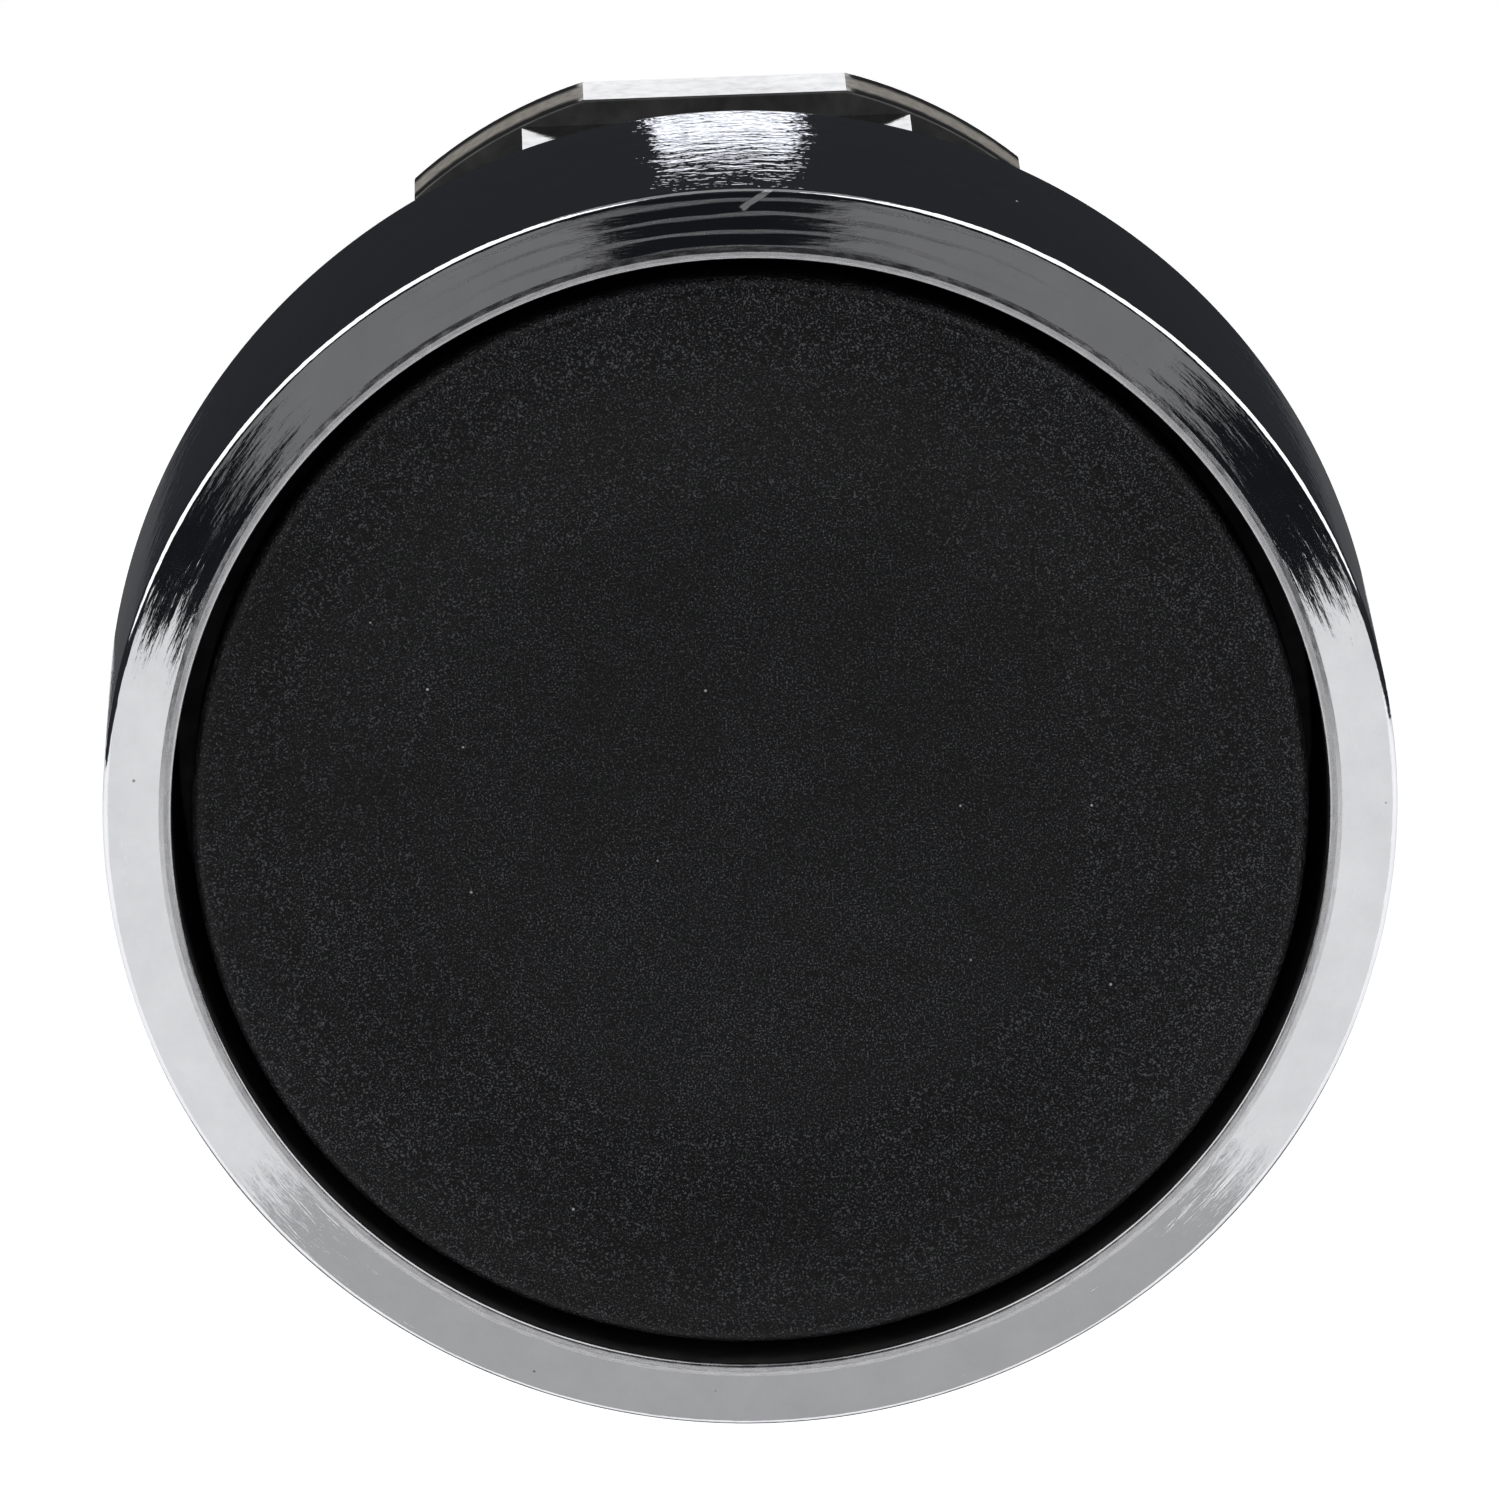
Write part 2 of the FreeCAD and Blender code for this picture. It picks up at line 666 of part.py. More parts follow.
def drive_plate_screw():
    """M3 screw from the rear, holding the drive plate on the tenon."""
    body = new_body("drive_plate_screw")
    seat = "plate_recess_y + washer_thickness"
    turn(body, "screw", [
        ("0", "rear_screw_end_y"),
        ("screw_radius", "rear_screw_end_y"),
        ("screw_radius", seat),
        ("rear_head_radius", seat),
        ("rear_head_radius", f"{seat} + rear_head_thickness"),
        ("0", f"{seat} + rear_head_thickness"),
    ])
    cross_recess(body, f"{seat} + rear_head_thickness", "-drive_depth")


for make in (
    bezel_housing, panel_gasket, diaphragm_clamp_ring, guide_sleeve, spring_seat_washer,
    rear_retainer, tail_bush, retaining_ring, diaphragm, return_spring,
    button_cap, cap_carrier, carrier_screw, carrier_screw_washer, diaphragm_press_ring,
    plunger_stem, stop_bumper, drive_plate, drive_plate_lock_washer, drive_plate_screw,
):
    make()
doc.recompute()

for item in doc.Objects:
    failed = [state for state in item.State if state in ("Invalid", "Error")]
    assert not failed, f"{item.Label} is {failed}"

bodies = [item for item in doc.Objects if item.TypeId == "PartDesign::Body"]
for body in bodies:
    assert not body.Shape.isNull() and body.Shape.isValid(), f"{body.Label} has a bad shape"
    assert len(body.Shape.Solids) == 1, f"{body.Label} has {len(body.Shape.Solids)} solids"

os.makedirs("parts", exist_ok=True)
for body in bodies:
    body.Shape.exportStep(f"parts/{body.Label}.step")
    print(f"{body.Label}: {body.Shape.Volume:.1f} mm3")
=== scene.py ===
import math

import bmesh
import bpy
from mathutils import Matrix, Quaternion, Vector


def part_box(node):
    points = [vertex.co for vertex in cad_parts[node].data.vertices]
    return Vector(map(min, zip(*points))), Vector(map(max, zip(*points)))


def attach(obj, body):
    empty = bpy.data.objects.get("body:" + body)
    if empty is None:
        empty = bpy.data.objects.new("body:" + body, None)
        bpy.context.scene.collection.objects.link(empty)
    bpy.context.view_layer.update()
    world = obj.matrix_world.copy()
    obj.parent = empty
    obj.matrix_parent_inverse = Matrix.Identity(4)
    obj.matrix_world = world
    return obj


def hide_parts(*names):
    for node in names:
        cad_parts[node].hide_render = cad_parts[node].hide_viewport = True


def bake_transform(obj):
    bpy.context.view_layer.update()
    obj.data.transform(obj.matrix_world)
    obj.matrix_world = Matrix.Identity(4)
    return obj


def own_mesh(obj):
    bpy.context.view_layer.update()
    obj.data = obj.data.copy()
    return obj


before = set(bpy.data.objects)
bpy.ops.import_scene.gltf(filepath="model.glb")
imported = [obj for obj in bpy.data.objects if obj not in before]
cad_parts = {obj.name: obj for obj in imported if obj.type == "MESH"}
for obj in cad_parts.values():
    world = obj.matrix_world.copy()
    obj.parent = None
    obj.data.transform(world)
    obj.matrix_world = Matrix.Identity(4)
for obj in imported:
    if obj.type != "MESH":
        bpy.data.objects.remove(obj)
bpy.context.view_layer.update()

# Head of a 22 mm flush push button. Metres; the button's axis is Y, the cap faces -Y, +Z is up.
# The origin is on the axis, in the plane of the panel's front face.

MM = 0.001

# ---------------------------------------------------------------- sizes, in millimetres

HOUSING_LOW, HOUSING_HIGH = (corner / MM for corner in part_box("bezel_housing"))
CAP_LOW, CAP_HIGH = (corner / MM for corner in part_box("button_cap"))

BEZEL_RADIUS = HOUSING_HIGH.x
CREST_Y = HOUSING_LOW.y
LUG_REAR_Y = HOUSING_HIGH.y
FRONT_EDGE_Y = CREST_Y + 0.27
LAND_INNER_RADIUS = 13.24
LAND_INNER_Y = FRONT_EDGE_Y - 0.23
CREST_RADIUS = 13.13
CUP_RADIUS = 12.95
CUP_FLOOR_Y = -1.8
BAND_CROWN_Y = -2.0
BAND_CROWN_CURVE = 0.015
TURNING_FEED = 0.36
SCRATCH_CENTRE = (0.59, 14.28)
SCRATCH_ANGLE = 32
SCRATCH_LENGTH = 0.8
SCRATCH_WIDTH = 0.11
BEZEL_BACK_Y = -0.5
GASKET_GROOVE_RADIUS = 13.9
GASKET_GROOVE_Y = -0.8
COUNTERBORE_RADIUS = 10.0
COUNTERBORE_FLOOR_Y = 1.2
SHOULDER_RADIUS = 8.0
SHOULDER_REAR_Y = 1.9
BORE_RADIUS = 8.7
CIRCLIP_GROOVE_RADIUS = 9.2
CIRCLIP_GROOVE_Y = (14.9, 15.8)
BARREL_RADIUS = 11.0
BARREL_ROOT_RADIUS = 10.6
BARREL_END_Y = 6.5
NECK_RADIUS = 9.7
NECK_REAR_Y = LUG_REAR_Y - 0.02
WEB_HALF_WIDTH = 4.65
WEB_HALF_HEIGHT = 9.95
LUG_FRONT_Y = 15.7
LUG_HALF_WIDTH = 7.2
LUG_HALF_HEIGHT = 10.55
LUG_ROOT_RADIUS = 9.45
LUG_RUB_RADIUS = 10.8

CAP_RADIUS = CAP_HIGH.x
CAP_RIM_Y = CAP_LOW.y
CAP_DISH_DEPTH = 0.28
CAP_UNDERSIDE_Y = -6.75
CAP_SKIRT_Y = -6.2
CAP_SKIRT_INNER_RADIUS = 11.5
HOOK_REAR_Y = CAP_HIGH.y
HOOK_HALF_WIDTH = 2.2
HOOK_INNER_RADIUS = 9.2
HOOK_OUTER_RADIUS = 9.75

SPRING_RADIUS = 4.9
WIRE_RADIUS = 0.3
SPRING_FRONT_Y, SPRING_REAR_Y = (corner.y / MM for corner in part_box("return_spring"))

OUTER_BEAD_DEPTH = 0.7
OUTER_BEAD_INNER_RADIUS = 9.3
INNER_BEAD_DEPTH = 0.6
INNER_BEAD_RADIUS = (6.2, 7.35)
SEAL_FRONT_RADIUS = (7.0, 7.35)
SEAL_REAR_RADIUS = (8.15, 8.6)
SEAL_WALL = 0.45
SEAL_ROUND = 0.1

# ---------------------------------------------------------------- mesh helpers

ARC_STEPS = 6
CREASE_ANGLE = math.radians(35)


def rounded(corners):
    """A closed outline from (u, v, round) corners: each corner becomes an arc of that radius."""
    outline = []
    count = len(corners)
    for index, (u, v, radius) in enumerate(corners):
        corner = Vector((u, v))
        before = (Vector(corners[index - 1][:2]) - corner).normalized()
        after = (Vector(corners[(index + 1) % count][:2]) - corner).normalized()
        if radius == 0:
            outline.append((u, v))
            continue
        half = before.angle(after) / 2
        reach = radius / math.tan(half)
        centre = corner + (before + after).normalized() * (radius / math.sin(half))
        support = 0.15 * reach
        outline.append(tuple(corner + before * (reach + support)))
        first = corner + before * reach - centre
        last = corner + after * reach - centre
        start = math.atan2(first.y, first.x)
        sweep = (math.atan2(last.y, last.x) - start + math.pi) % (2 * math.pi) - math.pi
        for step in range(ARC_STEPS + 1):
            angle = start + sweep * step / ARC_STEPS
            arc_u = centre.x + radius * math.cos(angle)
            arc_v = centre.y + radius * math.sin(angle)
            outline.append((arc_u, arc_v))
        outline.append(tuple(corner + after * (reach + support)))
    return outline


def shade_smooth(piece):
    """Smooth shading, broken where two faces meet at more than the crease angle."""
    piece.data.polygons.foreach_set("use_smooth", [True] * len(piece.data.polygons))
    piece.data.set_sharp_from_angle(angle=CREASE_ANGLE)


def new_piece(name, builder):
    """A smooth-shaded object from a bmesh."""
    bmesh.ops.recalc_face_normals(builder, faces=builder.faces)
    mesh = bpy.data.meshes.new(name)
    builder.to_mesh(mesh)
    builder.free()
    piece = bpy.data.objects.new(name, mesh)
    bpy.context.scene.collection.objects.link(piece)
    shade_smooth(piece)
    return piece


def lathe(outline, segments=360):
    """A closed (radius, y) outline turned about Y; a point on the axis becomes one vertex."""
    builder = bmesh.new()
    rings = []
    for radius, y in outline:
        if radius < 1e-6:
            rings.append([builder.verts.new((0, y * MM, 0))] * segments)
            continue
        ring = []
        for step in range(segments):
            angle = 2 * math.pi * step / segments
            place = (radius * math.cos(angle), y, radius * math.sin(angle))
            ring.append(builder.verts.new(Vector(place) * MM))
        rings.append(ring)
    for index, ring in enumerate(rings):
        following = rings[(index + 1) % len(rings)]
        for step in range(segments):
            beside = (step + 1) % segments
            corners = [ring[step], ring[beside], following[beside], following[step]]
            unique = list(dict.fromkeys(corners))
            if len(unique) > 2:
                builder.faces.new(unique)
    return builder


def extrude(outline, front, rear):
    """A closed (x, z) outline between two stations along Y."""
    builder = bmesh.new()
    near = [builder.verts.new(Vector((x, front, z)) * MM) for x, z in outline]
    far = [builder.verts.new(Vector((x, rear, z)) * MM) for x, z in outline]
    builder.faces.new(near)
    builder.faces.new(far)
    for index in range(len(outline)):
        beside = (index + 1) % len(outline)
        builder.faces.new([near[index], near[beside], far[beside], far[index]])
    return builder


def apply_modifiers(piece):
    """Bakes the object's modifiers into its mesh."""
    graph = bpy.context.evaluated_depsgraph_get()
    baked = bpy.data.meshes.new_from_object(piece.evaluated_get(graph))
    piece.modifiers.clear()
    piece.data = baked


def bevel(piece, width):
    """Rounds the piece's sharp edges."""
    modifier = piece.modifiers.new("edge_round", "BEVEL")
    modifier.width = width * MM
    modifier.segments = 3
    modifier.limit_method = "ANGLE"
    modifier.angle_limit = CREASE_ANGLE
    apply_modifiers(piece)


def keep_flats_flat(piece):
    """Weights the smooth normals by area, so that a rounded edge doesn't shade its flats."""
    modifier = piece.modifiers.new("flat_faces", "WEIGHTED_NORMAL")
    modifier.keep_sharp = True
    modifier.weight = 100
    apply_modifiers(piece)


def join_solids(piece, others):
    """Unites the other solids with the piece and removes them."""
    for other in others:
        modifier = piece.modifiers.new("union", "BOOLEAN")
        modifier.operation = "UNION"
        modifier.solver = "EXACT"
        modifier.object = other
    apply_modifiers(piece)
    for other in others:
        bpy.data.objects.remove(other)


def assign_by_place(piece, materials, choose):
    """Gives each face the material at the index that choose(radius, y, normal) returns."""
    piece.data.materials.clear()
    for material in materials:
        piece.data.materials.append(material)
    for face in piece.data.polygons:
        centre = face.center / MM
        face.material_index = choose(math.hypot(centre.x, centre.z), centre.y, face.normal)


# ---------------------------------------------------------------- material helpers


class Shader:
    """A node material whose pattern is laid out in millimetres in the object's own frame."""

    def __init__(self, name, **sockets):
        self.material = bpy.data.materials.new(name)
        self.material.use_nodes = True
        self.tree = self.material.node_tree
        self.surface = self.tree.nodes["Principled BSDF"]
        for socket, value in sockets.items():
            self.surface.inputs[socket.replace("_", " ")].default_value = value
        place = self.tree.nodes.new("ShaderNodeTexCoord")
        self.place = self.math_vector("SCALE", place.outputs["Object"], scale=1 / MM)
        self.x, self.y, self.z = self.split(self.place)
        self.flat = self.math_vector("MULTIPLY", self.place, (1, 0, 1))
        self.radius = self.math_vector("LENGTH", self.flat)

    def link(self, source, target):
        self.tree.links.new(source, target)

    def math(self, operation, first, second=0.0):
        node = self.tree.nodes.new("ShaderNodeMath")
        node.operation = operation
        for socket, value in zip(node.inputs, (first, second)):
            if isinstance(value, (int, float)):
                socket.default_value = value
            else:
                self.link(value, socket)
        return node.outputs[0]

    def math_vector(self, operation, first, second=None, scale=None):
        node = self.tree.nodes.new("ShaderNodeVectorMath")
        node.operation = operation
        self.link(first, node.inputs[0])
        if second is not None:
            node.inputs[1].default_value = second
        if scale is not None:
            node.inputs["Scale"].default_value = scale
        return node.outputs["Value"] if operation == "LENGTH" else node.outputs["Vector"]

    def split(self, vector):
        node = self.tree.nodes.new("ShaderNodeSeparateXYZ")
        self.link(vector, node.inputs[0])
        return node.outputs

    def round_place(self, around, across, along):
        """Coordinates that follow a turned surface, around it and across the radius or along Y."""
        facing = self.split(self.math_vector("NORMALIZE", self.flat))
        radius = self.math("MULTIPLY", self.radius, across)
        depth = self.math("MULTIPLY", self.y, along)
        joined = self.tree.nodes.new("ShaderNodeCombineXYZ")
        self.link(self.math("MULTIPLY", facing["X"], around), joined.inputs["X"])
        self.link(self.math("MULTIPLY", facing["Z"], around), joined.inputs["Y"])
        self.link(self.math("ADD", radius, depth), joined.inputs["Z"])
        return joined.outputs[0]

    def noise(self, scale, detail=3.0, roughness=0.5, place=None, stretch=None):
        node = self.tree.nodes.new("ShaderNodeTexNoise")
        node.inputs["Scale"].default_value = scale
        node.inputs["Detail"].default_value = detail
        node.inputs["Roughness"].default_value = roughness
        source = place or self.place
        if stretch:
            source = self.math_vector("MULTIPLY", source, stretch)
        self.link(source, node.inputs["Vector"])
        return node.outputs["Fac"]

    def cells(self, scale):
        node = self.tree.nodes.new("ShaderNodeTexVoronoi")
        node.inputs["Scale"].default_value = scale
        self.link(self.place, node.inputs["Vector"])
        return node.outputs["Distance"]

    def ramp(self, value, low, high, dark, light):
        """Maps value from low..high to a range of numbers or colours."""
        if isinstance(dark, float):
            node = self.tree.nodes.new("ShaderNodeMapRange")
            self.link(value, node.inputs["Value"])
            for socket, number in zip(node.inputs[1:5], (low, high, dark, light)):
                socket.default_value = number
            return node.outputs["Result"]
        node = self.tree.nodes.new("ShaderNodeValToRGB")
        self.link(value, node.inputs["Fac"])
        node.color_ramp.elements[0].position = low
        node.color_ramp.elements[0].color = (*dark, 1)
        node.color_ramp.elements[1].position = high
        node.color_ramp.elements[1].color = (*light, 1)
        return node.outputs["Color"]

    def blend(self, share, first, second):
        """A colour between first and second, each a colour or a socket."""
        node = self.tree.nodes.new("ShaderNodeMix")
        node.data_type = "RGBA"
        self.link(share, node.inputs["Factor"])
        colours = [item for item in node.inputs if item.type == "RGBA"]
        for target, value in zip(colours, (first, second)):
            if isinstance(value, tuple):
                target.default_value = (*value, 1)
            else:
                self.link(value, target)
        return next(item for item in node.outputs if item.type == "RGBA")

    def stroke(self, x, z, angle, length, width):
        """1 on a short straight mark and 0 elsewhere, placed in x and z, in mm and degrees."""
        ragged = self.math("MULTIPLY", self.noise(5.0, detail=2.0), 0.16)
        across_x = self.math("SUBTRACT", self.math("ADD", self.x, ragged), x + 0.08)
        across_z = self.math("SUBTRACT", self.z, z)
        cosine, sine = math.cos(math.radians(angle)), math.sin(math.radians(angle))
        shares = [
            (cosine, sine, length / 2, 0.06),
            (-sine, cosine, width / 2, 0.03),
        ]
        marks = []
        for share_x, share_z, reach, fade in shares:
            part_x = self.math("MULTIPLY", across_x, share_x)
            part_z = self.math("MULTIPLY", across_z, share_z)
            offset = self.math("ABSOLUTE", self.math("ADD", part_x, part_z))
            marks.append(self.ramp(offset, reach, reach + fade, 1.0, 0.0))
        return self.math("MULTIPLY", *marks)

    def bump(self, height, distance, under=None):
        """A bump of a height given in millimetres."""
        node = self.tree.nodes.new("ShaderNodeBump")
        node.inputs["Strength"].default_value = 1.0
        node.inputs["Distance"].default_value = distance * MM
        self.link(height, node.inputs["Height"])
        if under:
            self.link(under, node.inputs["Normal"])
        return node.outputs["Normal"]

    def use(self, **sockets):
        for socket, source in sockets.items():
            self.link(source, self.surface.inputs[socket.replace("_", " ")])
        return self.material


# ---------------------------------------------------------------- materials


def chrome(name):
    """Bright chrome plate with a faint cloudy tone; the caller adds its pattern and roughness."""
    shader = Shader(name, Metallic=1.0, Specular_Tint=(0.9, 0.93, 1.0, 1))
    cloud = shader.noise(0.8, detail=6.0, roughness=0.65)
    tone = shader.ramp(cloud, 0.3, 0.7, (0.525, 0.53, 0.545), (0.58, 0.585, 0.60))
    pits = shader.ramp(shader.cells(0.8), 0.022, 0.036, 1.0, 0.0)
    shader.tone = shader.blend(pits, tone, (0.22, 0.22, 0.22))
    return shader


def turned_land():
    """Front land: waves and rings left by turning before plating, and one short scratch."""
    shader = chrome("turned_chrome")
    waves = shader.noise(1.0, detail=1.0, place=shader.round_place(5.0, 3.2, 0.0))
    lines = shader.noise(1.0, detail=3.0, place=shader.round_place(24.0, 16.0, 0.0))
    wander = shader.noise(1.0, detail=2.0, place=shader.round_place(3.0, 2.0, 0.0))
    drift = shader.math("MULTIPLY", wander, 7.0)
    turns = shader.math("MULTIPLY", shader.radius, 2 * math.pi / TURNING_FEED)
    feed = shader.math("ADD", turns, drift)
    ring = shader.ramp(shader.math("SINE", feed), 0.45, 0.85, 0.0, 1.0)
    dull = shader.math("MULTIPLY", ring, shader.ramp(shader.z, 11.0, 13.4, 0.12, 1.0))
    scratch = shader.stroke(*SCRATCH_CENTRE, SCRATCH_ANGLE, SCRATCH_LENGTH, SCRATCH_WIDTH)
    haze = shader.ramp(shader.noise(2.5, detail=5.0), 0.35, 0.75, 0.04, 0.06)
    rough = shader.math("MAXIMUM", haze, shader.math("MULTIPLY", dull, 0.26))
    rough = shader.math("MAXIMUM", rough, shader.math("MULTIPLY", scratch, 0.32))
    relief = shader.bump(lines, 0.003, under=shader.bump(waves, 0.011))
    return shader.use(Base_Color=shader.tone, Roughness=rough, Normal=relief)


def rippled_band():
    """Side band: a plain cylinder shaded as if crowned, with a ripple drawn out around it."""
    shader = chrome("rippled_chrome")
    offset = shader.math("SUBTRACT", shader.y, BAND_CROWN_Y)
    crown = shader.math("MULTIPLY", shader.math("MULTIPLY", offset, offset), -BAND_CROWN_CURVE / 2)
    along = shader.round_place(15.0, 0.0, 2.7)
    ripple = shader.noise(1.0, detail=3.0, roughness=0.6, place=along)
    relief = shader.bump(ripple, 0.024, under=shader.bump(crown, 1.0))
    haze = shader.ramp(shader.noise(2.5, detail=5.0), 0.35, 0.75, 0.03, 0.05)
    dust = shader.ramp(shader.cells(0.62), 0.014, 0.024, 1.0, 0.0)
    plate = shader.ramp(dust, 0.0, 1.0, 1.0, 0.0)
    tone = shader.blend(dust, shader.tone, (0.8, 0.8, 0.8))
    return shader.use(Base_Color=tone, Metallic=plate, Roughness=haze, Normal=relief)


def rubbed_crest():
    """Narrow crest round the cup, its plate rubbed to a satin."""
    shader = Shader("satin_chrome", Metallic=1.0)
    grain = shader.noise(1.0, detail=3.0, place=shader.round_place(40.0, 12.0, 4.0))
    rough = shader.ramp(grain, 0.3, 0.7, 0.2, 0.3)
    tone = shader.ramp(grain, 0.3, 0.7, (0.30, 0.30, 0.31), (0.39, 0.39, 0.40))
    return shader.use(Base_Color=tone, Roughness=rough, Normal=shader.bump(grain, 0.003))


def painted_shade_plate():
    """Faces in recesses: plated metal given a near-black tone as painted shade."""
    shader = Shader("painted_shade_plate", Metallic=0.6)
    cloud = shader.noise(1.2, detail=4.0)
    # Painted shade: this near-black tone stands in for the shade that falls in the recesses.
    tone = shader.ramp(cloud, 0.3, 0.7, (0.03, 0.03, 0.03), (0.06, 0.06, 0.058))
    rough = shader.ramp(shader.noise(3.0, detail=4.0), 0.3, 0.7, 0.4, 0.55)
    relief = shader.bump(shader.noise(8.0), 0.004)
    return shader.use(Base_Color=tone, Roughness=rough, Normal=relief)


def cast_barrel():
    """Barrel and flats: plated over the raw casting."""
    shader = Shader("plated_casting", Metallic=1.0)
    patches = shader.noise(0.5, detail=5.0, roughness=0.6)
    tone = shader.ramp(patches, 0.3, 0.7, (0.33, 0.33, 0.34), (0.39, 0.395, 0.41))
    rough = shader.ramp(shader.noise(3.0, detail=6.0), 0.3, 0.7, 0.08, 0.16)
    grain = shader.bump(shader.noise(9.0, detail=5.0), 0.0015)
    flow = shader.bump(shader.noise(1.2, detail=3.0), 0.008, under=grain)
    return shader.use(Base_Color=tone, Roughness=rough, Normal=flow)


def rubbed_lug():
    """Turned edge of the lugs: dark plate with a brownish band where the collar has rubbed it."""
    shader = Shader("rubbed_lug")
    edge = shader.math("MULTIPLY", shader.noise(2.0, detail=4.0), 0.25)
    behind_front = shader.math("SUBTRACT", shader.y, edge)
    before_rear = shader.math("ADD", shader.y, edge)
    front = shader.ramp(behind_front, LUG_FRONT_Y + 0.15, LUG_FRONT_Y + 0.4, 0.0, 1.0)
    rear = shader.ramp(before_rear, LUG_REAR_Y - 0.45, LUG_REAR_Y - 0.2, 1.0, 0.0)
    worn = shader.math("MULTIPLY", front, rear)
    grain = shader.noise(5.0, detail=4.0)
    bare = shader.ramp(grain, 0.3, 0.7, (0.30, 0.28, 0.25), (0.46, 0.43, 0.39))
    tone = shader.blend(worn, (0.10, 0.10, 0.10), bare)
    rough = shader.ramp(worn, 0.0, 1.0, 0.2, 0.45)
    metal = shader.ramp(worn, 0.0, 1.0, 0.9, 0.35)
    relief = shader.bump(grain, 0.004)
    return shader.use(Base_Color=tone, Roughness=rough, Metallic=metal, Normal=relief)


def grained_plastic(name, dark, light, roughness, grain, depth, specular=0.5):
    """Moulded plastic with a spark-eroded grain and faint cloudy wear."""
    shader = Shader(name, Specular_IOR_Level=specular)
    cloud = shader.noise(0.35, detail=6.0, roughness=0.65)
    tone = shader.ramp(cloud, 0.3, 0.72, dark, light)
    rough = shader.ramp(shader.noise(1.3, detail=4.0), 0.3, 0.7, roughness - 0.05, roughness + 0.06)
    pits = shader.noise(grain, detail=4.0, roughness=0.6)
    coarse = shader.bump(shader.noise(grain * 0.35, detail=2.0), depth * 0.8)
    relief = shader.bump(pits, depth, under=coarse)
    return shader.use(Base_Color=tone, Roughness=rough, Normal=relief)


def worked_metal(name, dark, light, roughness, stretch):
    """Machined or drawn metal with fine lines along one direction."""
    shader = Shader(name, Metallic=1.0)
    lines = shader.noise(6.0, detail=4.0, stretch=stretch)
    tone = shader.ramp(lines, 0.3, 0.7, dark, light)
    rough = shader.ramp(shader.noise(2.0, detail=4.0), 0.3, 0.7, roughness, roughness + 0.12)
    return shader.use(Base_Color=tone, Roughness=rough, Normal=shader.bump(lines, 0.004))


def moulded_rubber():
    """Matt black nitrile with a fine bloom."""
    dark, light = (0.010, 0.010, 0.010), (0.022, 0.022, 0.023)
    return grained_plastic("nitrile", dark, light, 0.72, 14.0, 0.006, specular=0.3)


def node_finishes():
    """The material for each CAD node that stays as it is."""
    rubber = moulded_rubber()
    plastics = {
        "natural_nylon": ((0.66, 0.63, 0.54), (0.76, 0.74, 0.66), 0.42, 8.0, 0.003),
        "white_acetal": ((0.72, 0.72, 0.69), (0.82, 0.82, 0.80), 0.32, 6.0, 0.002),
        "black_acetal": ((0.012, 0.012, 0.012), (0.026, 0.026, 0.027), 0.42, 8.0, 0.003),
        "grey_nylon": ((0.24, 0.25, 0.26), (0.33, 0.34, 0.35), 0.48, 9.0, 0.004),
    }
    nylon, white, black, grey = (grained_plastic(name, *look) for name, look in plastics.items())
    zinc = worked_metal("zinc_plate", (0.48, 0.50, 0.53), (0.66, 0.67, 0.69), 0.22, (1, 3, 1))
    steel = worked_metal("spring_steel", (0.26, 0.26, 0.27), (0.42, 0.42, 0.43), 0.26, (1, 6, 1))
    brass = worked_metal("turned_brass", (0.60, 0.46, 0.20), (0.76, 0.60, 0.32), 0.20, (1, 8, 1))
    return {
        "panel_gasket": rubber,
        "diaphragm_clamp_ring": brass,
        "guide_sleeve": nylon,
        "spring_seat_washer": zinc,
        "rear_retainer": zinc,
        "tail_bush": black,
        "retaining_ring": steel,
        "cap_carrier": black,
        "carrier_screw": zinc,
        "carrier_screw_washer": zinc,
        "diaphragm_press_ring": brass,
        "plunger_stem": white,
        "stop_bumper": rubber,
        "drive_plate": grey,
        "drive_plate_lock_washer": steel,
        "drive_plate_screw": zinc,
    }


# ---------------------------------------------------------------- pieces


